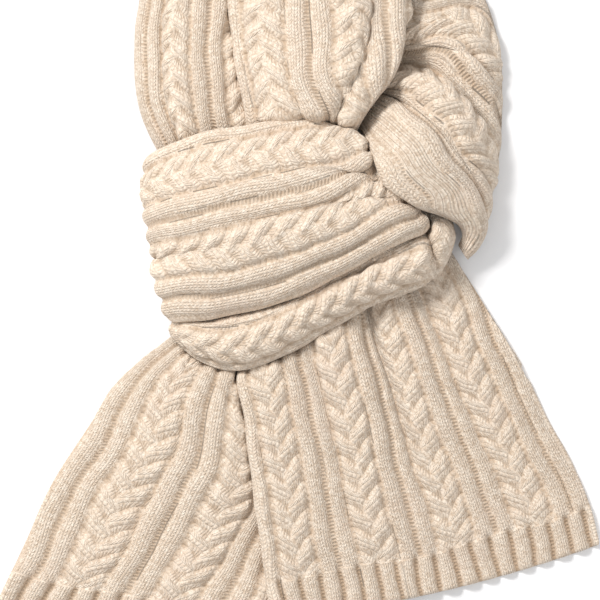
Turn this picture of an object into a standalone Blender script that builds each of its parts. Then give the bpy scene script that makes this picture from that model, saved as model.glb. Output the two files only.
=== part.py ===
"""A cable-knit scarf, doubled, tied through its own loop and laid flat on a table.

Units in the tables are millimetres, with X to the right, Y towards the neck and Z up from the table.
Each stretch of cloth is lofted through its sections, and its folds are pressed into those sections.
"""

from collections import namedtuple
from math import pi

import bpy
import numpy as np
from mathutils import Vector
from mathutils.bvhtree import BVHTree

MM = 0.001
WALL = 4.0  # thickness of the knitted cloth
CURL_RADIUS = 4.0  # of an edge that turns under
TURN_UNDER = 14.0  # the most that an edge curls under; the rest is bunched inside
LAID_CENTRE = (-1.4, 51.68)  # middle of the laid outline, which becomes the origin
CURVE_POINTS = 200  # across the dense curve that each section is read from
CURL_POINTS = 40  # along each curled edge of that curve
SHELL_ROWS = 22  # along each stretch's wall
SHELL_STEP = 12.5  # between the columns of a wall
FLAP_SHARE = 0.86  # of the loop, which lies over the knot
REACHES = (4.0, 8.0)  # how far round a point the cloth over it is felt
FELT_FROM = 0.1  # height that the cloth over a point is felt from
OPEN_SKY = 1000.0  # height of the roof where nothing lies over a point
PADDING_HEIGHT = 40.0
PADDING_CLEAR = 1.0  # between the hidden layers and the cloth over them
PADDING_RIM = 2.5  # height at the outline of the hidden layers
PADDING_LEAST = 0.6  # their height where the cloth presses them flat
PADDING_ROWS = 13
PADDING_COLUMNS = 11
ROUNDED_ROWS = 3  # rows over which the hidden layers round up from their outline
ROUNDED_COLUMNS = 4
WOOL = (0.75, 0.62, 0.49)  # oatmeal marl, linear colour
WOOL_ROUGHNESS = 0.95

# One section across a stretch, from its left end to its right end. The arch rises by crown above the
# straight line between them, and shoulder sets how square it is. turn swings the arch's up direction round
# that line, in degrees. bow bends the line in its own plane. cloth_left and cloth_right say which part of
# the scarf's width lies between the two ends; the rest turns under.
Section = namedtuple(
    "Section",
    "left_x left_y left_z right_x right_y right_z crown shoulder turn bow cloth_left cloth_right",
)

# One fold along a stretch. It lies at a share of the way across, and goes depth below the surface (a ridge
# is negative). lean pushes the cloth on its left over it, hides is the cloth lost inside it, and drift above
# 1 keeps it near its first place for longer.
Fold = namedtuple(
    "Fold", "name at_start at_end width depth_start depth_end lean hides begins ends drift", defaults=[1.0]
)

LEFT_TAIL = (
    Section(-62, 4, 4, 8, 2, 5, 6, 2.6, 0, 0, 6, 182),
    Section(-81, -22, 3, 12, -44, 3, 12, 2.6, 0, 0, 4, 182),
    Section(-117, -51, 3, 26, -90, 2, 14, 2.4, 0, 2, 2, 182),
    Section(-145, -90, 2, 47, -136, 2, 10, 2.2, 0, 5, 0, 182),
    Section(-168, -126, 2, 37, -168, 2, 4, 2.2, 0, 8, 0, 182),
    Section(-187, -168, 2, 22, -198, 2, 2, 2.2, 0, 10, 0, 182),
    Section(-206, -208, 2, 4, -227, 2, 0, 2.2, 0, 12, 0, 182),
)
LEFT_TAIL_FOLDS = (
    Fold("shadow_valley", 0.66, 0.70, 0.12, 14, 3, 0, 22, 0.0, 0.9),
    Fold("edge_valley", 0.22, 0.2, 0.06, 3, 0, 0, 6, 0.0, 0.6),
)

RIGHT_TAIL = (
    Section(-30, 2, 16, 98, 36, 3, 3, 2.4, 0, 0, 26, 226),
    Section(-37, -43, 18, 121, 0, 3, 6, 2.4, 0, 0, 25, 232),
    Section(-33, -75, 18, 143, -37, 3, 4, 2.4, 0, 0, 22, 240),
    Section(-27, -116, 17, 166, -78, 2, 1, 2.4, 0, 1, 21, 245),
    Section(-22, -160, 16, 186, -115, 2, -2, 2.4, 0, 3, 20, 245),
    Section(-17, -190, 15, 198, -145, 2, -4, 2.4, 0, 5, 20, 245),
    Section(-12, -215, 15, 203, -166, 2, -4, 2.4, 0, 7, 20, 245),
)
RIGHT_TAIL_FOLDS = (
    Fold("crest", 0.36, 0.36, 0.1, -4, -2, 0, 0, 0.0, 0.9),
    Fold("deep_valley", 0.56, 0.5, 0.05, 9, 1, 0, 16, 0.0, 0.8),
    Fold("left_gutter", 0.26, 0.26, 0.05, 3, 1, 0, 2, 0.0, 0.9),
    Fold("right_gutter", 0.78, 0.74, 0.05, 4, 1, 0, 4, 0.0, 0.7),
)

NECK_LEFT = (
    Section(-78, 74, 9, -24, 72, 9, 5, 2.4, 0, 0, 4, 100),
    Section(-93, 99, 9, -24, 96, 8, 8, 2.4, 0, 0, 2, 108),
    Section(-108, 130, 9, -28, 128, 8, 14, 2.4, 0, 0, 0, 112),
    Section(-112, 165, 8, -30, 163, 9, 16, 2.4, 0, 0, 0, 112),
    Section(-111, 190, 8, -30, 190, 9, 16, 2.4, 0, 0, 0, 110),
    Section(-106, 215, 9, -30, 215, 9, 16, 2.4, 0, 0, 0, 110),
    Section(-100, 265, 12, -28, 265, 9, 15, 2.4, 0, 0, 0, 110),
    Section(-94, 300, 13, -28, 300, 8, 12, 2.4, 0, 0, 0, 110),
    Section(-90, 318, 9, -28, 320, 6, 7, 2.4, 30, 0, 0, 110),
    Section(-88, 322, 3, -28, 324, 3, 2, 2.4, 60, 0, 0, 110),
)
NECK_LEFT_FOLDS = (Fold("inner_gutter", 0.24, 0.2, 0.06, 3, 2, 0, 2, 0.0, 1.0),)

NECK_RIGHT = (
    Section(-22, 70, 18, 26, 72, 18, 5, 2.4, 0, 0, 76, 130),
    Section(-30, 104, 20, 30, 104, 22, 7, 2.4, 0, 0, 76, 140),
    Section(-33, 128, 24, 42, 128, 38, 12, 2.4, 0, 0, 76, 154),
    Section(-38, 150, 25, 55, 146, 40, 12, 2.4, 0, 0, 76, 174),
    Section(-42, 180, 25, 67, 178, 37, 12, 2.4, 0, 0, 76, 186),
    Section(-44, 204, 25, 71, 204, 34, 12, 2.4, 0, 0, 76, 191),
    Section(-44, 240, 25, 72, 240, 28, 12, 2.4, 0, 0, 76, 191),
    Section(-42, 285, 24, 68, 285, 24, 12, 2.4, 0, 0, 76, 190),
    Section(-40, 312, 18, 64, 312, 16, 10, 2.4, 20, 0, 76, 188),
    Section(-38, 328, 9, 62, 328, 7, 4, 2.4, 60, 0, 76, 186),
)
NECK_RIGHT_FOLDS = (Fold("right_valley", 0.8, 0.86, 0.06, 6, 3, 0, 10, 0.0, 1.0),)

RIGHT_LOOP = (
    Section(36, 127, 8, 60, 258, 7, 3, 2.4, 0, 0, -12, 186),
    Section(40, 128, 8, 78, 255, 6, 6, 2.4, 0, 0, -14, 184),
    Section(43, 124, 11, 99, 240, 5, 9, 2.4, 0, 0, -16, 175),
    Section(48, 115, 27, 122, 208, 5, 12, 2.4, 0, 0, -17, 120),
    Section(53, 102, 42, 134, 172, 5, 14, 2.4, 0, 0, -22, 100),
    Section(57, 89, 50, 136, 138, 5, 14, 2.4, 0, 0, -27, 76),
    Section(63, 78, 50, 135, 107, 5, 14, 2.4, 0, 0, -28, 58),
    Section(79, 68, 46, 131, 80, 6, 13, 2.4, 0, 0, -24, 34),
    Section(98, 60, 38, 127, 61, 9, 10, 2.4, 0, 0, -12, 20),
    Section(112, 51, 29, 124, 46, 11, 6, 2.4, 0, 0, -8, 12),
    Section(114, 42, 20, 119, 35, 13, 3, 2.4, 0, 0, -6, 8),
    Section(111, 34, 16, 113, 29, 13, 1, 2.4, 0, 0, -5, 5),
)
RIGHT_LOOP_FOLDS = (
    Fold("ladder_crease", 0.12, 0.85, 0.06, 15, 2, 0, 8, 0.05, 0.9, 1.5),
    Fold("deep_crease", 0.2, 0.95, 0.07, 24, 8, -4, 12, 0.05, 0.66),
    Fold("upper_crease", 0.27, 0.98, 0.03, 5, 3, 0, 2, 0.05, 0.52),
)

WRAP_UPPER = (
    Section(74, 73, 28, 86, 52, 31, 3, 2.4, 0, 0, 88, 134),
    Section(66, 78, 33, 83, 48, 34, 4, 2.4, 0, 0, 80, 134),
    Section(58, 90, 37, 71, 43, 40, 7, 2.4, 0, 0, 66, 136),
    Section(47, 104, 37, 48, 31, 40, 11, 2.4, 0, 0, 48, 136),
    Section(29, 113, 38, 20, 16, 38, 13, 2.4, 0, 0, 32, 136),
    Section(0, 117, 38, -8, 3, 36, 14, 2.4, 0, 0, 24, 136),
    Section(-40, 113, 37, -36, -5, 34, 14, 2.4, 0, 0, 20, 136),
    Section(-70, 107, 34, -62, -10, 32, 13, 2.4, 0, 0, 20, 136),
    Section(-91, 99, 28, -80, -11, 27, 10, 2.4, 25, 0, 20, 136),
    Section(-103, 92, 20, -89, -11, 20, 6, 2.4, 70, 0, 20, 136),
    Section(-103, 88, 9, -88, -8, 12, 3, 2.4, 100, 0, 20, 136),
    Section(-97, 86, 4, -84, -4, 8, 1, 2.4, 140, 0, 20, 136),
)
WRAP_UPPER_FOLDS = (
    Fold("top_roll", 0.3, 0.22, 0.06, 12, 0, 1, 8, 0.0, 0.5),
    Fold("end_hollow", 0.44, 0.4, 0.14, 8, 0, 0, 0, 0.0, 0.4),
    Fold("middle_gutter", 0.5, 0.47, 0.05, 3, 1, 0, 2, 0.05, 1.0),
    Fold("side_notch", 0.62, 0.62, 0.06, 0, 6, 0, 2, 0.5, 1.0),
)

WRAP_LOWER = (
    Section(85, 62, 18, 100, 57, 18, 3, 2.2, 0, 0, 172, 205),
    Section(87, 55, 21, 102, 49, 22, 6, 2.2, 0, 0, 172, 208),
    Section(87, 51, 26, 103, 40, 25, 9, 2.2, 0, 0, 172, 210),
    Section(87, 50, 25, 98, 28, 25, 9, 2.2, 0, 0, 172, 212),
    Section(86, 50, 21, 93, 20, 20, 4, 2.2, 0, 0, 172, 214),
    Section(82, 52, 23, 87, 15, 25, 11, 2.2, 0, 0, 171, 218),
    Section(70, 47, 23, 78, 11, 25, 12, 2.2, 0, 0, 170, 222),
    Section(44, 37, 23, 52, 1, 25, 12, 2.2, 0, 0, 168, 222),
    Section(17, 23, 22, 25, -13, 25, 12, 2.2, 0, 0, 166, 222),
    Section(-7, 12, 21, -5, -30, 24, 12, 2.2, 0, 0, 165, 222),
    Section(-30, 4, 20, -29, -41, 23, 12, 2.2, 0, 0, 165, 222),
    Section(-58, -2, 18, -55, -43, 20, 11, 2.2, 0, 0, 165, 222),
    Section(-76, -6, 15, -74, -34, 16, 8, 2.2, 30, 0, 165, 222),
    Section(-86, -9, 12, -83, -27, 12, 4, 2.2, 70, 0, 165, 222),
)
WRAP_LOWER_FOLDS = (Fold("lower_gutter", 0.42, 0.4, 0.08, 3, 2, 0, 2, 0.2, 1.0),)

STRETCHES = {
    "left_tail": (LEFT_TAIL, LEFT_TAIL_FOLDS, 0, 183),
    "right_tail": (RIGHT_TAIL, RIGHT_TAIL_FOLDS, 6, 245),
    "neck_left": (NECK_LEFT, NECK_LEFT_FOLDS, 0, 112),
    "neck_right": (NECK_RIGHT, NECK_RIGHT_FOLDS, 66, 200),
    "right_loop": (RIGHT_LOOP, RIGHT_LOOP_FOLDS, -38, 196),
    "wrap_upper": (WRAP_UPPER, WRAP_UPPER_FOLDS, 8, 142),
    "wrap_lower": (WRAP_LOWER, WRAP_LOWER_FOLDS, 160, 234),
}


# Each stretch from the top of the heap down, with those it passes beneath and how far it stays clear.
LAYERS = {
    "right_loop": {},
    "wrap_upper": {"flap": 0.6},
    "wrap_lower": {"wrap_upper": 1.3, "flap": 0.9},
    "neck_right": {"wrap_upper": 0.9},
    "neck_left": {"neck_right": 1.2, "wrap_upper": 1.2},
    "right_tail": {"wrap_lower": 1.3, "wrap_upper": 1.3},
    "left_tail": {"right_tail": 1.7, "wrap_lower": 1.7, "wrap_upper": 1.7},
}

# The outline of each heap of hidden layers, from its lower end up.
Ring = namedtuple("Ring", "y left right")
PADDINGS = {
    "knot_core": (
        Ring(18, -70, 36),
        Ring(26, -78, 52),
        Ring(34, -84, 74),
        Ring(46, -88, 70),
        Ring(56, -88, 62),
        Ring(64, -86, 52),
    ),
    "under_neck_left": (
        Ring(108, -86, -40),
        Ring(140, -96, -42),
        Ring(190, -98, -42),
        Ring(250, -94, -40),
        Ring(292, -84, -40),
        Ring(308, -76, -40),
    ),
    "under_neck_right": (
        Ring(108, -16, 8),
        Ring(140, -16, 18),
        Ring(190, -16, 34),
        Ring(250, -16, 44),
        Ring(292, -16, 50),
        Ring(312, -16, 44),
    ),
    "under_loop": (
        Ring(68, 80, 118),
        Ring(90, 68, 124),
        Ring(120, 66, 126),
        Ring(150, 74, 118),
        Ring(180, 78, 106),
        Ring(200, 82, 94),
    ),
}


def ease(x):
    """A smooth step from 0 to 1."""
    x = np.clip(x, 0, 1)
    return x * x * (3 - 2 * x)


def through(rows, at):
    """The rows of numbers read at shares `at` of the way along, on one smooth curve through all of them."""
    rows = np.array(rows, float)
    middle = (rows[:, 0:3] + rows[:, 3:6]) / 2
    steps = np.linalg.norm(np.diff(middle, axis=0), axis=1) + 1e-6
    along = np.concatenate([[0], np.cumsum(steps)]) / steps.sum()
    slopes = np.gradient(rows, along, axis=0)
    i = np.clip(np.searchsorted(along, at, side="right") - 1, 0, len(along) - 2)
    gap = along[i + 1] - along[i]
    t = ((at - along[i]) / gap)[:, None]
    gap = gap[:, None]
    return (
        (2 * t**3 - 3 * t**2 + 1) * rows[i]
        + (t**3 - 2 * t**2 + t) * gap * slopes[i]
        + (3 * t**2 - 2 * t**3) * rows[i + 1]
        + (t**3 - t**2) * gap * slopes[i + 1]
    )


def curled(length, slope, points):
    """The path of an edge that curls under, as steps outwards and down from the edge."""
    walked = np.linspace(0, 1, points + 1)[1:] * length
    heading = np.minimum(slope + walked / CURL_RADIUS, pi)
    step = length / points
    return np.cumsum(np.cos(heading) * step), -np.cumsum(np.sin(heading) * step), walked


def section_curve(s, folds, share, first, last, points=CURVE_POINTS, spare=CURL_POINTS):
    """A dense curve along one section: across, up, place across the arch, and place in the scarf's width."""
    chord = np.linalg.norm(np.array(s[3:6]) - np.array(s[0:3]))
    q = np.linspace(0, 1, points)
    across, up = q * chord, s.crown * (1 - np.abs(2 * q - 1) ** s.shoulder)
    slope = np.arctan2(2 * max(s.crown, 0) * s.shoulder, chord)
    under_l, under_r = max(s.cloth_left - first, 0.5), max(last - s.cloth_right, 0.5)
    turn_l, turn_r = min(under_l, TURN_UNDER), min(under_r, TURN_UNDER)
    out_l, down_l, walked_l = curled(turn_l, slope, spare)
    out_r, down_r, walked_r = curled(turn_r, slope, spare)
    across = np.concatenate([-out_l[::-1], across, chord + out_r])
    up = np.concatenate([down_l[::-1], up, down_r])
    q = np.concatenate([-(walked_l / chord)[::-1], q, 1 + walked_r / chord])
    d_across, d_up = np.gradient(across), np.gradient(up)
    size = np.hypot(d_across, d_up) + 1e-9
    push, slide, hidden, lost = np.zeros_like(q), np.zeros_like(q), np.zeros_like(q), 0
    for fold in folds:
        way = np.clip((share - fold.begins) / (fold.ends - fold.begins), 0, 1)
        shown = ease((share - fold.begins) / 0.1 + (fold.begins <= 0))
        shown = shown * ease((fold.ends - share) / 0.15 + (fold.ends >= 1))
        place = fold.at_start + (fold.at_end - fold.at_start) * way**fold.drift
        depth = (fold.depth_start + (fold.depth_end - fold.depth_start) * ease(way)) * shown
        x = (q - place) / fold.width
        push -= depth * np.exp(-(x**2))
        strength = shown * abs(depth) / max(abs(fold.depth_start), abs(fold.depth_end))
        slide += fold.lean * strength * (np.exp(-((x + 0.9) ** 2)) - np.exp(-((x - 0.9) ** 2)))
        lost += fold.hides * strength
        hidden += fold.hides * strength * ease(0.5 + x / 2)
    walked = np.concatenate([[0], np.cumsum(np.hypot(np.diff(across), np.diff(up)))])
    start, stop = walked[spare], walked[spare + points - 1]
    inside = np.clip((walked - start) / (stop - start), 0, 1)
    cloth = s.cloth_left + (s.cloth_right - s.cloth_left - lost) * inside + hidden
    cloth += np.minimum(walked - start, 0) * under_l / turn_l
    cloth += np.maximum(walked - stop, 0) * under_r / turn_r
    across = across + (-d_up * push + d_across * slide) / size
    up = up + (d_across * push + d_up * slide) / size
    return across, up, q, cloth, chord


def surface(name, rows, cloth_at):
    """Points (rows, columns, 3) in mm of a stretch's middle layer, its columns at the given cloth places."""
    sections, folds, first, last = STRETCHES[name]
    shares = np.linspace(0, 1, rows)
    made = []
    for share, values in zip(shares, through(sections, shares)):
        s = Section(*values)
        across, up, q, cloth, chord = section_curve(s, folds, share, first, last)
        across, up, q = (np.interp(cloth_at, cloth, v) for v in (across, up, q))
        left, right = np.array(s[0:3]), np.array(s[3:6])
        along = (right - left) / chord
        rise = np.array([0, 0, 1.0]) - along[2] * along
        rise /= np.linalg.norm(rise)
        side = np.cross(along, rise)
        angle = np.radians(s.turn)
        lift = rise * np.cos(angle) + side * np.sin(angle)
        bend = side * np.cos(angle) - rise * np.sin(angle)
        bow = s.bow * (1 - (2 * np.clip(q, 0, 1) - 1) ** 2)
        made.append(left + np.outer(across, along) + np.outer(up, lift) + np.outer(bow, bend))
    points = np.array(made)
    points[..., 2] = np.maximum(points[..., 2], WALL / 2)
    return points


def normals_of(points):
    """Unit normals of a grid of points, towards the side that shows."""
    n = np.cross(np.gradient(points, axis=1), np.gradient(points, axis=0))
    return n / (np.linalg.norm(n, axis=2, keepdims=True) + 1e-12)


def wall_shell(points):
    """Vertices and faces of a closed wall of the cloth's thickness round a grid of points, in mm."""
    n = normals_of(points)
    over, under = points + n * WALL / 2, points - n * WALL / 2
    for layer in (over, under):
        layer[..., 2] = np.maximum(layer[..., 2], 0)
    return grid_shell(over, under)


def grid_shell(over, under):
    """Vertices and faces of the closed shell between two grids of the same size."""
    rows, columns = over.shape[:2]
    index = np.arange(rows * columns).reshape(rows, columns)
    beneath = rows * columns
    faces = []
    for i in range(rows - 1):
        for j in range(columns - 1):
            a, b, c, d = index[i, j], index[i, j + 1], index[i + 1, j + 1], index[i + 1, j]
            faces.append((a, b, c, d))
            faces.append((a + beneath, d + beneath, c + beneath, b + beneath))
    rim = np.concatenate([index[0, :], index[1:, -1], index[-1, -2::-1], index[-2:0:-1, 0]])
    for a, b in zip(rim, np.roll(rim, -1)):
        faces.append((b, a, a + beneath, b + beneath))
    vertices = np.concatenate([over.reshape(-1, 3), under.reshape(-1, 3)])
    return vertices, [tuple(int(v) for v in f) for f in faces]


def roof_over(trees, x, y):
    """Height of the lowest cloth over and close round (x, y)."""
    roof = OPEN_SKY
    for tree in trees:
        for reach in REACHES:
            for dx in (-reach, 0, reach):
                for dy in (-reach, 0, reach):
                    hit = tree.ray_cast(Vector((x + dx, y + dy, FELT_FROM)), Vector((0, 0, 1)))
                    if hit[0] is not None:
                        roof = min(roof, hit[0].z)
    return roof


def pressed(points, tree, clear):
    """Points of a stretch pressed down to pass beneath the cloth whose tree is given."""
    points = points.copy()
    for i in range(points.shape[0]):
        for j in range(points.shape[1]):
            x, y, z = points[i, j]
            points[i, j, 2] = max(min(z, roof_over([tree], x, y) - clear - WALL / 2), WALL / 2)
    return points


def rounded(place, count, steps):
    """Share of the full height at one of `count` places, rising over the first and last few steps."""
    inwards = min(place, count - 1 - place) / steps
    return np.sqrt(1 - (1 - min(inwards, 1)) ** 2)


def padding_shell(rings, trees):
    """A flat-bottomed heap of hidden cloth inside rings of outline points, kept below the cloth over it."""
    outline = np.array(rings, float)
    known, wanted = np.linspace(0, 1, len(outline)), np.linspace(0, 1, PADDING_ROWS)
    at_y, at_left, at_right = (np.interp(wanted, known, outline[:, k]) for k in range(3))
    across = (1 - np.cos(np.linspace(0, pi, PADDING_COLUMNS))) / 2
    under = np.zeros((PADDING_ROWS, PADDING_COLUMNS, 3))
    under[..., 0] = at_left[:, None] + np.outer(at_right - at_left, across)
    under[..., 1] = at_y[:, None]
    over = under.copy()
    for i in range(PADDING_ROWS):
        for j in range(PADDING_COLUMNS):
            share = rounded(i, PADDING_ROWS, ROUNDED_ROWS) * rounded(j, PADDING_COLUMNS, ROUNDED_COLUMNS)
            dome = PADDING_RIM + (PADDING_HEIGHT - PADDING_RIM) * share
            roof = roof_over(trees, under[i, j, 0], under[i, j, 1])
            over[i, j, 2] = max(min(dome, roof - PADDING_CLEAR), PADDING_LEAST)
    return grid_shell(over, under)


def wool(name):
    """The material of one stretch."""
    material = bpy.data.materials.new(name)
    material.use_nodes = True
    shader = material.node_tree.nodes["Principled BSDF"]
    shader.inputs["Base Color"].default_value = (*WOOL, 1)
    shader.inputs["Roughness"].default_value = WOOL_ROUGHNESS
    shader.inputs["Metallic"].default_value = 0
    return material


def main():
    for old in list(bpy.data.objects):
        bpy.data.objects.remove(old)
    shells = {}
    trees = {}
    for name in LAYERS:
        first, last = STRETCHES[name][2:4]
        columns = int((last - first) / SHELL_STEP) + 2
        points = surface(name, SHELL_ROWS, np.linspace(first, last, columns))
        for over, clear in LAYERS[name].items():
            points = pressed(points, trees[over], clear)
        vertices, faces = shells[name] = wall_shell(points)
        trees[name] = BVHTree.FromPolygons([Vector(v) for v in vertices], faces)
        if name == "right_loop":
            vertices, faces = wall_shell(points[: int(FLAP_SHARE * SHELL_ROWS)])
            trees["flap"] = BVHTree.FromPolygons([Vector(v) for v in vertices], faces)
    trees = list(trees.values())
    for name, rings in PADDINGS.items():
        shells[name] = padding_shell(rings, trees)
    for name, (vertices, faces) in shells.items():
        mesh = bpy.data.meshes.new(name)
        laid = (vertices - np.array([*LAID_CENTRE, 0])) * MM
        mesh.from_pydata(laid.tolist(), [], faces)
        mesh.materials.append(wool(name))
        made = bpy.data.objects.new(name, mesh)
        bpy.context.scene.collection.objects.link(made)


if __name__ == "__main__":
    main()
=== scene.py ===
"""How the cable-knit scarf looks: its stretches of cloth with ribs, cables and stitches, on a pale table.

Units in the tables are millimetres, with X to the right, Y towards the neck and Z up from the table.
"""

from collections import namedtuple
from math import pi

import bpy
import numpy as np
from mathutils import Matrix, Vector


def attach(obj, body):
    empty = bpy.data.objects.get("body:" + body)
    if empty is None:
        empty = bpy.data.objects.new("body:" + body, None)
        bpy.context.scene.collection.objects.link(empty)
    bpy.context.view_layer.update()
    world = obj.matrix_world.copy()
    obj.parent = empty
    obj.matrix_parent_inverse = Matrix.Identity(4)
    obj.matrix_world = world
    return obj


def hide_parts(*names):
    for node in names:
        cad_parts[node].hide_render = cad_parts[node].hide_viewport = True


MM = 0.001
WALL = 4.0  # thickness of the knitted cloth
CURL_RADIUS = 4.0  # of an edge that turns under
TURN_UNDER = 14.0  # the most that an edge curls under; the rest is bunched inside
LAID_CENTRE = (-1.4, 51.68)  # middle of the laid outline, which becomes the origin
CURVE_POINTS = 200  # across the dense curve that each section is read from
CURL_POINTS = 40  # along each curled edge of that curve
# One section across a stretch, from its left end to its right end. The arch rises by crown above the
# straight line between them, and shoulder sets how square it is. turn swings the arch's up direction round
# that line, in degrees. bow bends the line in its own plane. cloth_left and cloth_right say which part of
# the scarf's width lies between the two ends; the rest turns under.
Section = namedtuple(
    "Section",
    "left_x left_y left_z right_x right_y right_z crown shoulder turn bow cloth_left cloth_right",
)

# One fold along a stretch. It lies at a share of the way across, and goes depth below the surface (a ridge
# is negative). lean pushes the cloth on its left over it, hides is the cloth lost inside it, and drift above
# 1 keeps it near its first place for longer.
Fold = namedtuple(
    "Fold", "name at_start at_end width depth_start depth_end lean hides begins ends drift", defaults=[1.0]
)

LEFT_TAIL = (
    Section(-62, 4, 4, 8, 2, 5, 6, 2.6, 0, 0, 6, 182),
    Section(-81, -22, 3, 12, -44, 3, 12, 2.6, 0, 0, 4, 182),
    Section(-117, -51, 3, 26, -90, 2, 14, 2.4, 0, 2, 2, 182),
    Section(-145, -90, 2, 47, -136, 2, 10, 2.2, 0, 5, 0, 182),
    Section(-168, -126, 2, 37, -168, 2, 4, 2.2, 0, 8, 0, 182),
    Section(-187, -168, 2, 22, -198, 2, 2, 2.2, 0, 10, 0, 182),
    Section(-206, -208, 2, 4, -227, 2, 0, 2.2, 0, 12, 0, 182),
)
LEFT_TAIL_FOLDS = (
    Fold("shadow_valley", 0.66, 0.70, 0.12, 14, 3, 0, 22, 0.0, 0.9),
    Fold("edge_valley", 0.22, 0.2, 0.06, 3, 0, 0, 6, 0.0, 0.6),
)

RIGHT_TAIL = (
    Section(-30, 2, 16, 98, 36, 3, 3, 2.4, 0, 0, 26, 226),
    Section(-37, -43, 18, 121, 0, 3, 6, 2.4, 0, 0, 25, 232),
    Section(-33, -75, 18, 143, -37, 3, 4, 2.4, 0, 0, 22, 240),
    Section(-27, -116, 17, 166, -78, 2, 1, 2.4, 0, 1, 21, 245),
    Section(-22, -160, 16, 186, -115, 2, -2, 2.4, 0, 3, 20, 245),
    Section(-17, -190, 15, 198, -145, 2, -4, 2.4, 0, 5, 20, 245),
    Section(-12, -215, 15, 203, -166, 2, -4, 2.4, 0, 7, 20, 245),
)
RIGHT_TAIL_FOLDS = (
    Fold("crest", 0.36, 0.36, 0.1, -4, -2, 0, 0, 0.0, 0.9),
    Fold("deep_valley", 0.56, 0.5, 0.05, 9, 1, 0, 16, 0.0, 0.8),
    Fold("left_gutter", 0.26, 0.26, 0.05, 3, 1, 0, 2, 0.0, 0.9),
    Fold("right_gutter", 0.78, 0.74, 0.05, 4, 1, 0, 4, 0.0, 0.7),
)

NECK_LEFT = (
    Section(-78, 74, 9, -24, 72, 9, 5, 2.4, 0, 0, 4, 100),
    Section(-93, 99, 9, -24, 96, 8, 8, 2.4, 0, 0, 2, 108),
    Section(-108, 130, 9, -28, 128, 8, 14, 2.4, 0, 0, 0, 112),
    Section(-112, 165, 8, -30, 163, 9, 16, 2.4, 0, 0, 0, 112),
    Section(-111, 190, 8, -30, 190, 9, 16, 2.4, 0, 0, 0, 110),
    Section(-106, 215, 9, -30, 215, 9, 16, 2.4, 0, 0, 0, 110),
    Section(-100, 265, 12, -28, 265, 9, 15, 2.4, 0, 0, 0, 110),
    Section(-94, 300, 13, -28, 300, 8, 12, 2.4, 0, 0, 0, 110),
    Section(-90, 318, 9, -28, 320, 6, 7, 2.4, 30, 0, 0, 110),
    Section(-88, 322, 3, -28, 324, 3, 2, 2.4, 60, 0, 0, 110),
)
NECK_LEFT_FOLDS = (Fold("inner_gutter", 0.24, 0.2, 0.06, 3, 2, 0, 2, 0.0, 1.0),)

NECK_RIGHT = (
    Section(-22, 70, 18, 26, 72, 18, 5, 2.4, 0, 0, 76, 130),
    Section(-30, 104, 20, 30, 104, 22, 7, 2.4, 0, 0, 76, 140),
    Section(-33, 128, 24, 42, 128, 38, 12, 2.4, 0, 0, 76, 154),
    Section(-38, 150, 25, 55, 146, 40, 12, 2.4, 0, 0, 76, 174),
    Section(-42, 180, 25, 67, 178, 37, 12, 2.4, 0, 0, 76, 186),
    Section(-44, 204, 25, 71, 204, 34, 12, 2.4, 0, 0, 76, 191),
    Section(-44, 240, 25, 72, 240, 28, 12, 2.4, 0, 0, 76, 191),
    Section(-42, 285, 24, 68, 285, 24, 12, 2.4, 0, 0, 76, 190),
    Section(-40, 312, 18, 64, 312, 16, 10, 2.4, 20, 0, 76, 188),
    Section(-38, 328, 9, 62, 328, 7, 4, 2.4, 60, 0, 76, 186),
)
NECK_RIGHT_FOLDS = (Fold("right_valley", 0.8, 0.86, 0.06, 6, 3, 0, 10, 0.0, 1.0),)

RIGHT_LOOP = (
    Section(36, 127, 8, 60, 258, 7, 3, 2.4, 0, 0, -12, 186),
    Section(40, 128, 8, 78, 255, 6, 6, 2.4, 0, 0, -14, 184),
    Section(43, 124, 11, 99, 240, 5, 9, 2.4, 0, 0, -16, 175),
    Section(48, 115, 27, 122, 208, 5, 12, 2.4, 0, 0, -17, 120),
    Section(53, 102, 42, 134, 172, 5, 14, 2.4, 0, 0, -22, 100),
    Section(57, 89, 50, 136, 138, 5, 14, 2.4, 0, 0, -27, 76),
    Section(63, 78, 50, 135, 107, 5, 14, 2.4, 0, 0, -28, 58),
    Section(79, 68, 46, 131, 80, 6, 13, 2.4, 0, 0, -24, 34),
    Section(98, 60, 38, 127, 61, 9, 10, 2.4, 0, 0, -12, 20),
    Section(112, 51, 29, 124, 46, 11, 6, 2.4, 0, 0, -8, 12),
    Section(114, 42, 20, 119, 35, 13, 3, 2.4, 0, 0, -6, 8),
    Section(111, 34, 16, 113, 29, 13, 1, 2.4, 0, 0, -5, 5),
)
RIGHT_LOOP_FOLDS = (
    Fold("ladder_crease", 0.12, 0.85, 0.06, 15, 2, 0, 8, 0.05, 0.9, 1.5),
    Fold("deep_crease", 0.2, 0.95, 0.07, 24, 8, -4, 12, 0.05, 0.66),
    Fold("upper_crease", 0.27, 0.98, 0.03, 5, 3, 0, 2, 0.05, 0.52),
)

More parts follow.
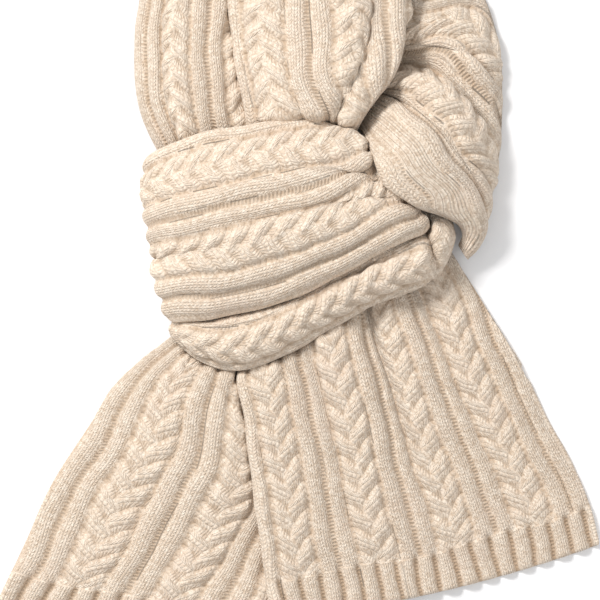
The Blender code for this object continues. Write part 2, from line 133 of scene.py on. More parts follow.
WRAP_UPPER = (
    Section(74, 73, 28, 86, 52, 31, 3, 2.4, 0, 0, 88, 134),
    Section(66, 78, 33, 83, 48, 34, 4, 2.4, 0, 0, 80, 134),
    Section(58, 90, 37, 71, 43, 40, 7, 2.4, 0, 0, 66, 136),
    Section(47, 104, 37, 48, 31, 40, 11, 2.4, 0, 0, 48, 136),
    Section(29, 113, 38, 20, 16, 38, 13, 2.4, 0, 0, 32, 136),
    Section(0, 117, 38, -8, 3, 36, 14, 2.4, 0, 0, 24, 136),
    Section(-40, 113, 37, -36, -5, 34, 14, 2.4, 0, 0, 20, 136),
    Section(-70, 107, 34, -62, -10, 32, 13, 2.4, 0, 0, 20, 136),
    Section(-91, 99, 28, -80, -11, 27, 10, 2.4, 25, 0, 20, 136),
    Section(-103, 92, 20, -89, -11, 20, 6, 2.4, 70, 0, 20, 136),
    Section(-103, 88, 9, -88, -8, 12, 3, 2.4, 100, 0, 20, 136),
    Section(-97, 86, 4, -84, -4, 8, 1, 2.4, 140, 0, 20, 136),
)
WRAP_UPPER_FOLDS = (
    Fold("top_roll", 0.3, 0.22, 0.06, 12, 0, 1, 8, 0.0, 0.5),
    Fold("end_hollow", 0.44, 0.4, 0.14, 8, 0, 0, 0, 0.0, 0.4),
    Fold("middle_gutter", 0.5, 0.47, 0.05, 3, 1, 0, 2, 0.05, 1.0),
    Fold("side_notch", 0.62, 0.62, 0.06, 0, 6, 0, 2, 0.5, 1.0),
)

WRAP_LOWER = (
    Section(85, 62, 18, 100, 57, 18, 3, 2.2, 0, 0, 172, 205),
    Section(87, 55, 21, 102, 49, 22, 6, 2.2, 0, 0, 172, 208),
    Section(87, 51, 26, 103, 40, 25, 9, 2.2, 0, 0, 172, 210),
    Section(87, 50, 25, 98, 28, 25, 9, 2.2, 0, 0, 172, 212),
    Section(86, 50, 21, 93, 20, 20, 4, 2.2, 0, 0, 172, 214),
    Section(82, 52, 23, 87, 15, 25, 11, 2.2, 0, 0, 171, 218),
    Section(70, 47, 23, 78, 11, 25, 12, 2.2, 0, 0, 170, 222),
    Section(44, 37, 23, 52, 1, 25, 12, 2.2, 0, 0, 168, 222),
    Section(17, 23, 22, 25, -13, 25, 12, 2.2, 0, 0, 166, 222),
    Section(-7, 12, 21, -5, -30, 24, 12, 2.2, 0, 0, 165, 222),
    Section(-30, 4, 20, -29, -41, 23, 12, 2.2, 0, 0, 165, 222),
    Section(-58, -2, 18, -55, -43, 20, 11, 2.2, 0, 0, 165, 222),
    Section(-76, -6, 15, -74, -34, 16, 8, 2.2, 30, 0, 165, 222),
    Section(-86, -9, 12, -83, -27, 12, 4, 2.2, 70, 0, 165, 222),
)
WRAP_LOWER_FOLDS = (Fold("lower_gutter", 0.42, 0.4, 0.08, 3, 2, 0, 2, 0.2, 1.0),)

STRETCHES = {
    "left_tail": (LEFT_TAIL, LEFT_TAIL_FOLDS, 0, 183),
    "right_tail": (RIGHT_TAIL, RIGHT_TAIL_FOLDS, 6, 245),
    "neck_left": (NECK_LEFT, NECK_LEFT_FOLDS, 0, 112),
    "neck_right": (NECK_RIGHT, NECK_RIGHT_FOLDS, 66, 200),
    "right_loop": (RIGHT_LOOP, RIGHT_LOOP_FOLDS, -38, 196),
    "wrap_upper": (WRAP_UPPER, WRAP_UPPER_FOLDS, 8, 142),
    "wrap_lower": (WRAP_LOWER, WRAP_LOWER_FOLDS, 160, 234),
}


def ease(x):
    """A smooth step from 0 to 1."""
    x = np.clip(x, 0, 1)
    return x * x * (3 - 2 * x)


def through(rows, at):
    """The rows of numbers read at shares `at` of the way along, on one smooth curve through all of them."""
    rows = np.array(rows, float)
    middle = (rows[:, 0:3] + rows[:, 3:6]) / 2
    steps = np.linalg.norm(np.diff(middle, axis=0), axis=1) + 1e-6
    along = np.concatenate([[0], np.cumsum(steps)]) / steps.sum()
    slopes = np.gradient(rows, along, axis=0)
    i = np.clip(np.searchsorted(along, at, side="right") - 1, 0, len(along) - 2)
    gap = along[i + 1] - along[i]
    t = ((at - along[i]) / gap)[:, None]
    gap = gap[:, None]
    return (
        (2 * t**3 - 3 * t**2 + 1) * rows[i]
        + (t**3 - 2 * t**2 + t) * gap * slopes[i]
        + (3 * t**2 - 2 * t**3) * rows[i + 1]
        + (t**3 - t**2) * gap * slopes[i + 1]
    )


def curled(length, slope, points):
    """The path of an edge that curls under, as steps outwards and down from the edge."""
    walked = np.linspace(0, 1, points + 1)[1:] * length
    heading = np.minimum(slope + walked / CURL_RADIUS, pi)
    step = length / points
    return np.cumsum(np.cos(heading) * step), -np.cumsum(np.sin(heading) * step), walked


def section_curve(s, folds, share, first, last, points=CURVE_POINTS, spare=CURL_POINTS):
    """A dense curve along one section: across, up, place across the arch, and place in the scarf's width."""
    chord = np.linalg.norm(np.array(s[3:6]) - np.array(s[0:3]))
    q = np.linspace(0, 1, points)
    across, up = q * chord, s.crown * (1 - np.abs(2 * q - 1) ** s.shoulder)
    slope = np.arctan2(2 * max(s.crown, 0) * s.shoulder, chord)
    under_l, under_r = max(s.cloth_left - first, 0.5), max(last - s.cloth_right, 0.5)
    turn_l, turn_r = min(under_l, TURN_UNDER), min(under_r, TURN_UNDER)
    out_l, down_l, walked_l = curled(turn_l, slope, spare)
    out_r, down_r, walked_r = curled(turn_r, slope, spare)
    across = np.concatenate([-out_l[::-1], across, chord + out_r])
    up = np.concatenate([down_l[::-1], up, down_r])
    q = np.concatenate([-(walked_l / chord)[::-1], q, 1 + walked_r / chord])
    d_across, d_up = np.gradient(across), np.gradient(up)
    size = np.hypot(d_across, d_up) + 1e-9
    push, slide, hidden, lost = np.zeros_like(q), np.zeros_like(q), np.zeros_like(q), 0
    for fold in folds:
        way = np.clip((share - fold.begins) / (fold.ends - fold.begins), 0, 1)
        shown = ease((share - fold.begins) / 0.1 + (fold.begins <= 0))
        shown = shown * ease((fold.ends - share) / 0.15 + (fold.ends >= 1))
        place = fold.at_start + (fold.at_end - fold.at_start) * way**fold.drift
        depth = (fold.depth_start + (fold.depth_end - fold.depth_start) * ease(way)) * shown
        x = (q - place) / fold.width
        push -= depth * np.exp(-(x**2))
        strength = shown * abs(depth) / max(abs(fold.depth_start), abs(fold.depth_end))
        slide += fold.lean * strength * (np.exp(-((x + 0.9) ** 2)) - np.exp(-((x - 0.9) ** 2)))
        lost += fold.hides * strength
        hidden += fold.hides * strength * ease(0.5 + x / 2)
    walked = np.concatenate([[0], np.cumsum(np.hypot(np.diff(across), np.diff(up)))])
    start, stop = walked[spare], walked[spare + points - 1]
    inside = np.clip((walked - start) / (stop - start), 0, 1)
    cloth = s.cloth_left + (s.cloth_right - s.cloth_left - lost) * inside + hidden
    cloth += np.minimum(walked - start, 0) * under_l / turn_l
    cloth += np.maximum(walked - stop, 0) * under_r / turn_r
    across = across + (-d_up * push + d_across * slide) / size
    up = up + (d_across * push + d_up * slide) / size
    return across, up, q, cloth, chord


def surface(name, rows, cloth_at):
    """Points (rows, columns, 3) in mm of a stretch's middle layer, its columns at the given cloth places."""
    sections, folds, first, last = STRETCHES[name]
    shares = np.linspace(0, 1, rows)
    made = []
    for share, values in zip(shares, through(sections, shares)):
        s = Section(*values)
        across, up, q, cloth, chord = section_curve(s, folds, share, first, last)
        across, up, q = (np.interp(cloth_at, cloth, v) for v in (across, up, q))
        left, right = np.array(s[0:3]), np.array(s[3:6])
        along = (right - left) / chord
        rise = np.array([0, 0, 1.0]) - along[2] * along
        rise /= np.linalg.norm(rise)
        side = np.cross(along, rise)
        angle = np.radians(s.turn)
        lift = rise * np.cos(angle) + side * np.sin(angle)
        bend = side * np.cos(angle) - rise * np.sin(angle)
        bow = s.bow * (1 - (2 * np.clip(q, 0, 1) - 1) ** 2)
        made.append(left + np.outer(across, along) + np.outer(up, lift) + np.outer(bow, bend))
    points = np.array(made)
    points[..., 2] = np.maximum(points[..., 2], WALL / 2)
    return points


def normals_of(points):
    """Unit normals of a grid of points, from the cross product of its column and row directions."""
    n = np.cross(np.gradient(points, axis=1), np.gradient(points, axis=0))
    return n / (np.linalg.norm(n, axis=2, keepdims=True) + 1e-12)



# ---- the knitted pattern ----

# One band of the pattern across the scarf, from one place in its width to another, in millimetres.
Band = namedtuple("Band", "kind start stop")

STITCH_HEIGHT = 2.5
RIB_STITCHES = 3
CREASE = 0.7  # beside each cable
BANDS = (
    Band("rib", -33.0, -19.5),
    Band("purl", -19.5, -17.0),
    Band("rib", 0.0, 10.0),
    Band("purl", 10.0, 13.5),
    Band("rib", 13.5, 23.8),
    Band("cable", 23.8, 53.2),
    Band("rib", 53.2, 64.3),
    Band("purl", 64.3, 68.7),
    Band("rib", 68.7, 79.8),
    Band("cable", 79.8, 109.2),
    Band("rib", 109.2, 120.3),
    Band("purl", 120.3, 124.7),
    Band("rib", 124.7, 135.8),
    Band("cable", 135.8, 165.2),
    Band("rib", 165.2, 176.3),
    Band("purl", 176.3, 180.7),
    Band("rib", 180.7, 191.8),
    Band("cable", 191.8, 221.2),
    Band("rib", 221.2, 231.5),
    Band("purl", 231.5, 235.0),
    Band("rib", 235.0, 245.0),
)
RIB_RISE = 2.3
PURL_DROP = 1.5
LOBE_PITCH = 17.6
LOBE_SLANT = 9.0
PLAIT_SHARE = 0.87  # of a cable band
LOBE_RISE = 3.9
PLAIT_CROWN = 1.0  # of the whole plait, under its lobes
PLAIT_SWAY = 0.16  # of the line between the two sides
PLAIT_GROOVE = 1.2  # depth of the groove down each edge of a plait
GROOVE_SHARE = 0.1  # of half the plait's width
LOBE_MEAN = 0.4  # taken off so that the lobes rise and fall about the plait's crown
LOBE_BEND = 1.1
LOBE_LEAN = 0.8
LOBE_FULLNESS = 0.75
EMERGE_SHARE = 0.3  # of a lobe's length, over which it comes out of the edge
TUCK_FROM = 0.75  # of a lobe's length, from which it dips under the other side
TUCK_LOSS = 0.3
CABLE_OFFSET = 5.3  # along the scarf from one cable's pattern to the next
PATTERN_SINK = 0.6  # of the pattern's ground below the cloth's face
CREASE_DEPTH = 0.4
HEM_DEPTH = 29.0
HEM_PITCH = 13.6
HEM_PURL = 3.4
HEM_SHIFT = 2.0
HEM_BLEND = 7.0  # length over which the hem's ribs take over
HEM_RIB_GAIN = 1.25
HEM_PURL_GAIN = 2.4
CABLE_END_FADE = 9.0  # length over which a cable flattens above the hem
CABLE_END_SHARE = 0.8
PURL_STITCHES = 2
PLAIN_STITCH_WIDTH = 3.25
LOBE_STITCHES = 6.0  # along a lobe

COLUMN_STEP = 0.85
ROW_STEP = 1.0


def blurred(values, rows, columns):
    """A grid of values smoothed over a reach of so many rows and columns."""
    for axis, reach in ((0, rows), (1, columns)):
        offsets = np.arange(-2 * reach, 2 * reach + 1)
        weights = np.exp(-((offsets / reach) ** 2))
        weights /= weights.sum()
        edge = [(0, 0), (0, 0)]
        edge[axis] = (2 * reach, 2 * reach)
        wide = np.pad(values, edge, mode="edge")
        size = values.shape[axis]
        values = sum(w * np.take(wide, np.arange(k, k + size), axis=axis) for k, w in enumerate(weights))
    return values


def rib_profile(x):
    """Height across a rib, for x from 0 to 1."""
    return RIB_RISE * (1 - np.abs(2 * x - 1) ** 2.2) ** 0.75 - PATTERN_SINK


def cable_relief(x, v, phase):
    """Height, stitch coordinates and side of a plaited cable, for x from -1 to 1 and v along it in mm."""
    v = v + phase
    middle = -PLAIT_SWAY * np.cos(2 * pi * (v - LOBE_SLANT) / LOBE_PITCH)
    right = x > middle
    inward = np.where(right, (1 - x) / (1 - middle), (1 + x) / (1 + middle))
    inward = np.clip(inward, 0, 1)
    turn = (v - LOBE_SLANT * inward**LOBE_BEND) / LOBE_PITCH + np.where(right, 0.5, 0.0)
    f = turn - np.floor(turn)
    ridge = np.sin(pi * f**LOBE_LEAN) ** LOBE_FULLNESS
    emerge = 0.5 + 0.5 * ease(inward / EMERGE_SHARE)
    tuck = 1 - TUCK_LOSS * ease((inward - TUCK_FROM) / (1 - TUCK_FROM))
    height = PLAIT_CROWN * (1 - x**2) ** 0.6 + LOBE_RISE * (ridge * emerge * tuck - LOBE_MEAN)
    height -= PLAIT_GROOVE * np.exp(-(((1 - np.abs(x)) / GROOVE_SHARE) ** 2))
    return height, 2 * turn, inward * LOBE_STITCHES, 1.0 + right


def knit(u, v, length, hem, phase):
    """Relief of the flat knitted cloth over grids of u (across) and v (along), both in mm.

    Returns the height, a purl mask, two stitch coordinates and the patch of like stitches at each place.
    """
    height, purl, patch = np.zeros_like(u), np.zeros_like(u), np.zeros_like(u)
    across, along = u / PLAIN_STITCH_WIDTH, v / STITCH_HEIGHT
    cables = 0
    for number, band in enumerate(BANDS):
        inside = (u >= band.start) & (u < band.stop)
        patch = np.where(inside, 1.0 + number, patch)
        x = np.clip((u - band.start) / (band.stop - band.start), 0, 1)
        if band.kind == "rib":
            height = np.where(inside, rib_profile(x), height)
            across = np.where(inside, x * RIB_STITCHES, across)
        elif band.kind == "purl":
            height = np.where(inside, -PURL_DROP * (1 - np.abs(2 * x - 1) ** 1.6) - PATTERN_SINK, height)
            purl = np.where(inside, 1.0, purl)
            across = np.where(inside, x * PURL_STITCHES, across)
        else:
            cables += 1
            plait = np.clip((2 * x - 1) / PLAIT_SHARE, -1, 1)
            h, su, sv, side = cable_relief(plait, v, phase + CABLE_OFFSET * cables)
            patch = np.where(inside, patch + 100.0 * side, patch)
            if hem:
                h = h * (1 - CABLE_END_SHARE * ease((v - (length - HEM_DEPTH - HEM_BLEND)) / CABLE_END_FADE))
            height = np.where(inside, h, height)
            across, along = np.where(inside, su, across), np.where(inside, sv, along)
            for edge in (band.start, band.stop):
                height = height - CREASE_DEPTH * np.exp(-(((u - edge) / CREASE) ** 2))
    if hem:
        x = ((u + HEM_SHIFT) / HEM_PITCH) % 1
        gap = HEM_PURL / HEM_PITCH
        rib_x = np.clip(x / (1 - gap), 0, 1)
        gap_x = np.clip((x - 1 + gap) / gap, 0, 1)
        rib = x < 1 - gap
        raised = HEM_RIB_GAIN * rib_profile(rib_x)
        dropped = -HEM_PURL_GAIN * PURL_DROP * (1 - np.abs(2 * gap_x - 1) ** 2) - PATTERN_SINK
        h = np.where(rib, raised, dropped)
        start = ease((v - (length - HEM_DEPTH)) / HEM_BLEND)
        height = height * (1 - start) + h * start
        purl = np.where(start > 0.5, np.where(rib, 0.0, 1.0), purl)
        across = np.where(start > 0.5, np.where(rib, rib_x * RIB_STITCHES, x * PURL_STITCHES), across)
        along = np.where(start > 0.5, v / STITCH_HEIGHT, along)
        patch = np.where(start > 0.5, 1000.0 + rib, patch)
    return height, purl, across, along, patch


def band_lengths(points, cloth):
    """Length walked along the cloth at every point, read along the middle of each point's band."""
    walked = np.zeros(points.shape[:2])
    for band in BANDS:
        inside = (cloth >= band.start - 0.3) & (cloth < band.stop + 0.3)
        if not inside.any():
            continue
        middle = np.clip((band.start + band.stop) / 2, cloth[0], cloth[-1])
        column = int(np.argmin(np.abs(cloth - middle)))
        steps = np.linalg.norm(np.diff(points[:, column], axis=0), axis=1)
        walked[:, inside] = np.concatenate([[0], np.cumsum(steps)])[:, None]
    return walked


# ---- materials ----


def node(tree, kind, **values):
    made = tree.nodes.new(kind)
    for name, value in values.items():
        setattr(made, name, value)
    return made


def math_node(tree, operation, a, b=None, clamp=False):
    made = node(tree, "ShaderNodeMath", operation=operation, use_clamp=clamp)
    for socket, value in zip(made.inputs, (a, b)):
        if value is None:
            continue
        if isinstance(value, (int, float)):
            socket.default_value = value
        else:
            tree.links.new(value, socket)
    return made.outputs[0]


def mixed(tree, factor, a, b):
    made = node(tree, "ShaderNodeMix", data_type="RGBA")
    for socket, value in ((made.inputs[0], factor), (made.inputs[6], a), (made.inputs[7], b)):
        if isinstance(value, tuple):
            socket.default_value = (*value, 1)
        elif isinstance(value, (int, float)):
            socket.default_value = value
        else:
            tree.links.new(value, socket)
    return made.outputs[2]


def hump(tree, value):
    """1 half way from 0 to 1, falling to 0 at both ends."""
    off = math_node(tree, "ABSOLUTE", math_node(tree, "SUBTRACT", value, 0.5))
    off = math_node(tree, "POWER", math_node(tree, "MULTIPLY", off, 2.0), 2.0)
    return math_node(tree, "SUBTRACT", 1.0, off)


LIGHT_WOOL = (0.87, 0.76, 0.64)
MID_WOOL = (0.66, 0.53, 0.41)
# the marl's dark fibres, and also the colour of the painted shade in stitches, gutters and valleys
DARK_FIBRE_AND_SHADE = (0.40, 0.28, 0.18)
PINK_WOOL = (0.77, 0.62, 0.51)


def wool_material():
    material = bpy.data.materials.new("oatmeal_wool")
    material.use_nodes = True
    tree = material.node_tree
    shader = tree.nodes["Principled BSDF"]
    uv = node(tree, "ShaderNodeUVMap", uv_map="stitch").outputs[0]
    parts = node(tree, "ShaderNodeSeparateXYZ")
    tree.links.new(uv, parts.inputs[0])
    across, along = parts.outputs[0], parts.outputs[1]
    purl = node(tree, "ShaderNodeAttribute", attribute_name="purl").outputs["Fac"]
    painted_relief_shade = node(tree, "ShaderNodeAttribute", attribute_name="painted_relief_shade").outputs["Fac"]
    where = node(tree, "ShaderNodeTexCoord").outputs["Object"]

    # Each knit stitch is a V of two legs.
    side = math_node(tree, "ABSOLUTE", math_node(tree, "SUBTRACT", math_node(tree, "FRACT", across), 0.5))
    side = math_node(tree, "MULTIPLY", side, 2.0)
    leg = hump(tree, side)
    slant = math_node(tree, "SUBTRACT", along, math_node(tree, "MULTIPLY", side, 0.75))
    loop = hump(tree, math_node(tree, "FRACT", slant))
    crest = math_node(tree, "ADD", math_node(tree, "MULTIPLY", loop, 0.65), 0.35)
    knit_height = math_node(tree, "MULTIPLY", math_node(tree, "POWER", leg, 0.6), crest)
    # Each purl row is a low bar.
    bar = math_node(tree, "ABSOLUTE", math_node(tree, "SUBTRACT", math_node(tree, "FRACT", along), 0.5))
    bar = math_node(tree, "SUBTRACT", 1.0, math_node(tree, "MULTIPLY", bar, 2.0))
    stitch = node(tree, "ShaderNodeMix", data_type="FLOAT")
    tree.links.new(purl, stitch.inputs[0])
    tree.links.new(knit_height, stitch.inputs[2])
    tree.links.new(bar, stitch.inputs[3])
    stitch = stitch.outputs[0]

    def noise(scale, detail, roughness=0.6, distortion=0.0):
        made = node(tree, "ShaderNodeTexNoise")
        made.inputs["Scale"].default_value = scale
        made.inputs["Detail"].default_value = detail
        made.inputs["Roughness"].default_value = roughness
        made.inputs["Distortion"].default_value = distortion
        tree.links.new(where, made.inputs["Vector"])
        return made.outputs["Fac"]

    fibre = noise(800, 3, 0.7, 1.5)
    fleck = noise(330, 4, 0.7, 0.8)
    blotch = noise(28, 2)

    def ramp(value, low, high):
        made = node(tree, "ShaderNodeMapRange", clamp=True)
        made.inputs[1].default_value = low
        made.inputs[2].default_value = high
        tree.links.new(value, made.inputs[0])
        return made.outputs[0]

    colour = mixed(tree, ramp(fleck, 0.42, 0.58), MID_WOOL, LIGHT_WOOL)
    colour = mixed(tree, math_node(tree, "MULTIPLY", ramp(blotch, 0.5, 0.75), 0.35), colour, PINK_WOOL)
    colour = mixed(tree, math_node(tree, "MULTIPLY", ramp(fibre, 0.54, 0.36), 0.5), colour, DARK_FIBRE_AND_SHADE)
    # Painted shade where each stitch is low, between its legs and loops.
    painted_stitch_shade = math_node(tree, "MULTIPLY", ramp(stitch, 0.3, 0.0), 0.22)
    colour = mixed(tree, painted_stitch_shade, colour, DARK_FIBRE_AND_SHADE)
    # Painted shade over the recessed purl gutters.
    colour = mixed(tree, math_node(tree, "MULTIPLY", ramp(purl, 0.0, 1.0), 0.22), colour, DARK_FIBRE_AND_SHADE)
    # Painted shade in the relief's valleys, then painted highlight in LIGHT_WOOL on its crests, both from how
    # far each point lies below its blurred surroundings.
    colour = mixed(tree, math_node(tree, "MULTIPLY", ramp(painted_relief_shade, 0.1, 0.9), 0.65), colour, DARK_FIBRE_AND_SHADE)
    colour = mixed(tree, math_node(tree, "MULTIPLY", ramp(painted_relief_shade, 0.0, -0.8), 0.35), colour, LIGHT_WOOL)
    tree.links.new(colour, shader.inputs["Base Color"])
    shader.inputs["Roughness"].default_value = 0.95
    shader.inputs["Specular IOR Level"].default_value = 0.12
    shader.inputs["Sheen Weight"].default_value = 0.25
    shader.inputs["Sheen Roughness"].default_value = 0.5
    shader.inputs["Sheen Tint"].default_value = (1, 0.95, 0.88, 1)

    relief = math_node(tree, "ADD", stitch, math_node(tree, "MULTIPLY", fibre, 0.5))
    relief = math_node(tree, "ADD", relief, math_node(tree, "MULTIPLY", fleck, 0.35))
    bump = node(tree, "ShaderNodeBump")
    bump.inputs["Strength"].default_value = 1.0
    bump.inputs["Distance"].default_value = 0.0008
    tree.links.new(relief, bump.inputs["Height"])
    tree.links.new(bump.outputs[0], shader.inputs["Normal"])
    return material


# ---- pieces ----

# One visible stretch. hem says that it ends in the ribbed hem, phase shifts its pattern, least and most keep
# the pattern to its part of the scarf's width, and calm_start and calm_end are the shares of its length
# before and after which the pattern fades.
Look = namedtuple("Look", "name hem phase least most calm_start calm_end rests_on")

LOOKS = (
    Look("left_tail", True, 0.0, 0, 245, 0, 1, ("floor",)),
    Look("right_tail", True, 4.0, 0, 245, 0, 1, ("left_tail_cloth", "floor")),
    Look("neck_left", False, 2.0, 0, 109, 0, 1, ("floor",)),
    Look("neck_right", False, 7.0, 69, 245, 0, 1, ("neck_left_cloth",)),
    Look("right_loop", False, 3.0, -40, 245, 0, 0.82, ("floor",)),
    Look("wrap_upper", False, 1.0, 0, 135.5, 0, 1, ("neck_left_cloth", "neck_right_cloth")),
    Look("wrap_lower", False, 5.0, 165.5, 245, 0.2, 1, ("left_tail_cloth", "right_tail_cloth")),
)
# A slow wave over the cloth: its size, and how far along and across the cloth one radian of it reaches.
Wave = namedtuple("Wave", "size along across")

SIDE_DRIFT = Wave(0.7, 13.0, 21.0)
SIDE_WOBBLE = Wave(0.5, 7.1, -11.0)
ROW_DRIFT = Wave(1.5, 23.0, 15.0)
SWELL = Wave(0.5, 9.0, 14.0)
SWELL_BEAT = Wave(1.0, 17.0, -12.0)
BUNCHED, SLACK = 0.25, 0.55  # where bunched cloth loses its pattern, and over what range
CALM_LEFT = 0.25  # of the pattern, where it fades
CALM_IN, CALM_OUT = 0.06, 0.08  # shares of the length over which it fades
# scale of the painted shade and highlight of the relief
PAINTED_SHADE_SCALE = 1.1
TABLE_TOP_CLEAR, TABLE_UNDER_CLEAR = 0.3, 0.2
RIM_STEPS = 4
RIM_BULGE = 0.5  # of the wall


def rimmed(over, under, hem, left, right):
    """The top grid with rounded rims added along its hem and selvedges, turned down to the under side."""
    def arc(edge_over, edge_under, outward):
        rows = []
        centre, radius = (edge_over + edge_under) / 2, (edge_over - edge_under) / 2
        for k in range(1, RIM_STEPS + 1):
            angle = pi * k / RIM_STEPS
            bulge = outward * WALL * RIM_BULGE
            rows.append(centre + radius * np.cos(angle) + bulge * np.sin(angle))
        return rows

    if left:
        outward = over[:, 0] - over[:, 1]
        outward /= np.linalg.norm(outward, axis=1, keepdims=True)
        rows = arc(over[:, 0], under[:, 0], outward)
        over = np.concatenate([np.stack(rows[::-1], axis=1), over], axis=1)
        under = np.concatenate([np.repeat(under[:, :1], RIM_STEPS, axis=1), under], axis=1)
    if right:
        outward = over[:, -1] - over[:, -2]
        outward /= np.linalg.norm(outward, axis=1, keepdims=True)
        rows = arc(over[:, -1], under[:, -1], outward)
        over = np.concatenate([over, np.stack(rows, axis=1)], axis=1)
        under = np.concatenate([under, np.repeat(under[:, -1:], RIM_STEPS, axis=1)], axis=1)
    if hem:
        outward = over[-1] - over[-3]
        outward /= np.linalg.norm(outward, axis=1, keepdims=True)
        rows = arc(over[-1], under[-1], outward)
        over = np.concatenate([over, np.stack(rows, axis=0)], axis=0)
    return over


# The square grid on which one piece of cloth finds what lies over it.
REACH = 340.0
CELL = 2.0
CORNER = np.array([-REACH, -REACH + 50])
OPEN = 1000.0  # nothing overhead
TUCK_CLEAR = 0.8


def roof_grid(pieces):
    """The lowest height of the cloth already laid, on a square grid over the scarf."""
    cells = int(2 * REACH / CELL)
    roof = np.full((cells, cells), OPEN)
    for points in pieces:
        flat = points.reshape(-1, 3)
        spot = np.clip(((flat[:, :2] - CORNER) / CELL).astype(int), 0, cells - 1)
        np.minimum.at(roof, (spot[:, 0], spot[:, 1]), flat[:, 2])
    wide = np.pad(roof, 1, mode="edge")
    return np.minimum.reduce([wide[i : i + cells, j : j + cells] for i in range(3) for j in range(3)])


def tucked(base, roof):
    """Points pressed down to pass beneath the cloth that lies over them."""
    spot = np.clip(((base[..., :2] - CORNER) / CELL).astype(int), 0, len(roof) - 1)
    limit = roof[spot[..., 0], spot[..., 1]] - WALL - TUCK_CLEAR
    pressing = np.maximum(base[..., 2] - limit, 0)
    rows, columns = pressing.shape
    wide = np.pad(pressing, 2, mode="edge")
    near = [wide[i : i + rows, j : j + columns] for i in range(5) for j in range(5)]
    pressing = blurred(np.maximum.reduce(near), 2, 2)
    pressed = base.copy()
    pressed[..., 2] = np.maximum(base[..., 2] - pressing, WALL / 2)
    return pressed


def wave(made, walked, u, phase=0.0):
    return made.size * np.sin(walked / made.along + u / made.across + phase)


def cloth_piece(look, material, over_it):
    """One stretch of cloth with its relief: the piece, its flat size in metres, and its middle layer in mm."""
    sections, folds, first, last = STRETCHES[look.name]
    columns = int((last - first) / COLUMN_STEP)
    cloth = np.linspace(first, last, columns)
    rough = surface(look.name, 60, np.linspace(first, last, 9))
    length = np.linalg.norm(np.diff(rough, axis=0), axis=2).sum(axis=0).max()
    rows = int(length / ROW_STEP)
    base = surface(look.name, rows, cloth)
    if over_it:
        base = tucked(base, roof_grid(over_it))
    normals = normals_of(base)
    upwards = normals[..., 2].mean() > 0
    if not upwards:
        normals = -normals
    walked = band_lengths(base, cloth)
    u = np.repeat(cloth[None, :], rows, axis=0)
    total = walked[-1:, :]
    drift = wave(SIDE_DRIFT, walked, u, look.phase) + wave(SIDE_WOBBLE, walked, u)
    place = np.clip(u + drift, look.least, look.most)
    row = walked + wave(ROW_DRIFT, walked, u)
    height, purl, across, along, patch = knit(place, row, total, look.hem, look.phase)
    height = height + wave(SWELL, walked, u) * wave(SWELL_BEAT, walked, u, look.phase)
    wide = np.linalg.norm(np.gradient(base, axis=1), axis=2) / (cloth[1] - cloth[0])
    tall = np.linalg.norm(np.gradient(base, axis=0), axis=2) / ROW_STEP
    spread = ease((blurred(np.minimum(wide, tall), 4, 4) - BUNCHED) / SLACK)
    share = np.linspace(0, 1, rows)[:, None]
    if look.calm_start:
        kept = ease((share - look.calm_start + CALM_IN) / CALM_IN)
        spread = spread * (CALM_LEFT + (1 - CALM_LEFT) * kept)
    if look.calm_end < 1:
        kept = ease((look.calm_end + CALM_OUT - share) / CALM_OUT)
        spread = spread * (CALM_LEFT + (1 - CALM_LEFT) * kept)
    height = blurred(height * spread, 2, 2)
    # Painted shade and highlight: how far the relief lies below its blurred surroundings, positive in valleys
    # and negative on crests.
    painted_relief_shade = (blurred(height, 3, 3) - height) / PAINTED_SHADE_SCALE
    over = base + normals * (WALL / 2 + height[..., None])
    under = base - normals * (WALL / 2)
    over[..., 2] = np.maximum(over[..., 2], TABLE_TOP_CLEAR)
    under[..., 2] = np.maximum(under[..., 2], TABLE_UNDER_CLEAR)
    left, right = look.name == "left_tail", look.name == "right_tail"
    full = rimmed(over, under, look.hem, left, right)
    pad_l, pad_r, pad_b = RIM_STEPS * left, RIM_STEPS * right, RIM_STEPS * look.hem

    def padded(values):
        return np.pad(values, ((0, pad_b), (pad_l, pad_r)), mode="edge")

    purl, painted_relief_shade, across, along, patch = (padded(v) for v in (purl, painted_relief_shade, across, along, patch))
    rows, columns = full.shape[:2]
    index = np.arange(rows * columns).reshape(rows, columns)
    corners = [index[:-1, :-1], index[1:, :-1], index[1:, 1:], index[:-1, 1:]]
    faces = np.stack(corners[::-1] if upwards else corners, axis=-1).reshape(-1, 4)
    mesh = bpy.data.meshes.new(look.name + "_cloth")
    laid = (full.reshape(-1, 3) - np.array([*LAID_CENTRE, 0])) * MM
    mesh.from_pydata(laid.tolist(), [], faces.tolist())
    mesh.shade_smooth()
    for name, values in (("purl", purl), ("painted_relief_shade", painted_relief_shade)):
        layer = mesh.attributes.new(name, "FLOAT", "POINT")
        layer.data.foreach_set("value", values.ravel().astype(np.float32))
    # A face between two patches takes one corner's stitch, so that no stitch is smeared over it.
    kinds = patch.ravel()[faces]
    whole = (kinds == kinds[:, :1]).all(axis=1)
    corner = np.where(whole[:, None], faces, faces[:, :1]).ravel()
    stitch = mesh.uv_layers.new(name="stitch")
    places = np.stack([across.ravel()[corner], along.ravel()[corner]], -1)
    stitch.data.foreach_set("uv", places.ravel().astype(np.float32))
    mesh.materials.append(material)
    piece = bpy.data.objects.new(look.name + "_cloth", mesh)
    bpy.context.scene.collection.objects.link(piece)
    shown = np.median(np.linalg.norm(np.diff(base, axis=1), axis=2).sum(axis=1))
    size = (float(shown) * MM, float(np.median(walked[-1])) * MM)
    return piece, size, base


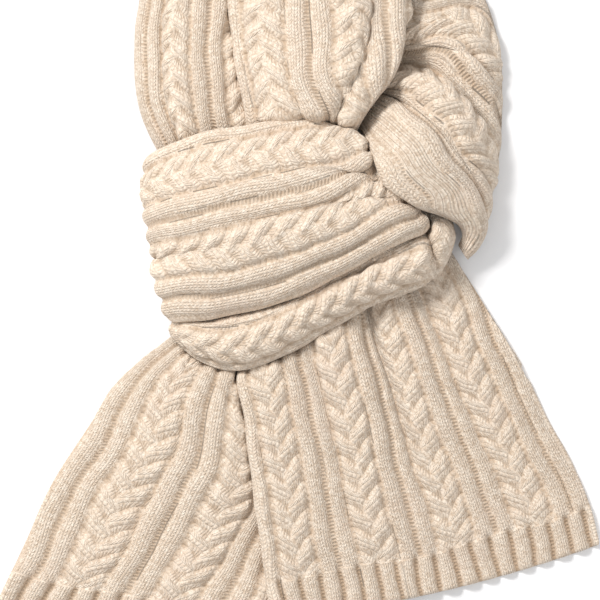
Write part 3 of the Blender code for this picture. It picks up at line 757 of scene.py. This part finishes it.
def make_floor():
    bpy.ops.mesh.primitive_plane_add(size=8, location=(0, 0, -0.0002))
    floor = bpy.context.object
    floor.name = "floor"
    material = bpy.data.materials.new("white_table")
    material.use_nodes = True
    shader = material.node_tree.nodes["Principled BSDF"]
    shader.inputs["Base Color"].default_value = (0.93, 0.93, 0.94, 1)
    shader.inputs["Roughness"].default_value = 0.8
    floor.data.materials.append(material)


def area_light(name, at, aim, power, size, colour=(1, 1, 1)):
    light = bpy.data.lights.new(name, "AREA")
    light.energy, light.size, light.color = power, size, colour
    lamp = bpy.data.objects.new(name, light)
    lamp.location = at
    lamp.rotation_euler = (Vector(aim) - Vector(at)).to_track_quat("-Z", "Y").to_euler()
    bpy.context.scene.collection.objects.link(lamp)


FRAMED = 0.408  # metres across the picture at the scarf's mid height
CAMERA_HEIGHT = 2.6
SENSOR = 36.0


def make_camera():
    camera = bpy.data.cameras.new("camera")
    camera.sensor_width = SENSOR
    camera.lens = SENSOR * (CAMERA_HEIGHT - 0.02) / FRAMED
    camera.clip_end = 20
    rig = bpy.data.objects.new("camera", camera)
    rig.location = (-LAID_CENTRE[0] * MM, -LAID_CENTRE[1] * MM, CAMERA_HEIGHT)
    bpy.context.scene.collection.objects.link(rig)
    bpy.context.scene.camera = rig


def make_light():
    area_light("key", (-1.25, 1.25, 1.75), (0, 0, 0), 62, 0.7, (1.0, 0.985, 0.965))
    area_light("fill", (1.4, -0.8, 2.2), (0, 0, 0), 14, 2.2, (0.98, 0.99, 1.0))
    world = bpy.data.worlds.new("world")
    bpy.context.scene.world = world
    world.use_nodes = True
    world.node_tree.nodes["Background"].inputs[0].default_value = (1, 1, 1, 1)
    world.node_tree.nodes["Background"].inputs[1].default_value = 0.6
    bpy.context.scene.view_settings.view_transform = "Standard"


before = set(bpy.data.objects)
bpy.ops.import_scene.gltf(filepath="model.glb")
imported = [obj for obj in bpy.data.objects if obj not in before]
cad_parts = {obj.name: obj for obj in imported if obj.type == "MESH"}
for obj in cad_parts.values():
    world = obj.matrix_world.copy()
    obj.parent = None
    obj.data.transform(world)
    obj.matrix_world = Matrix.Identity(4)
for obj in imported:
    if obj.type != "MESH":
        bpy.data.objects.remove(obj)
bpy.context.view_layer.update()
make_camera()
make_light()
make_floor()
wool = wool_material()
HEAP = ("right_loop", "wrap_upper", "wrap_lower", "neck_right", "neck_left", "right_tail", "left_tail")
STANDS_FOR = {
    "neck_left": ("neck_left", "under_neck_left"),
    "neck_right": ("neck_right", "under_neck_right"),
    "right_loop": ("right_loop", "under_loop"),
    "wrap_upper": ("wrap_upper", "knot_core"),
}
LIES_UNDER = {
    "wrap_lower": ("wrap_upper", "right_loop"),
    "wrap_upper": ("right_loop",),
    "neck_right": ("wrap_upper",),
    "neck_left": ("neck_right", "wrap_upper"),
    "right_tail": ("wrap_lower", "wrap_upper"),
    "left_tail": ("right_tail", "wrap_lower", "wrap_upper"),
}
laid = {}
for look in sorted(LOOKS, key=lambda look: HEAP.index(look.name)):
    over_it = [laid[name] for name in LIES_UNDER.get(look.name, ())]
    piece, size, laid[look.name] = cloth_piece(look, wool, over_it)
    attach(piece, "root")
    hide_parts(*STANDS_FOR.get(look.name, (look.name,)))
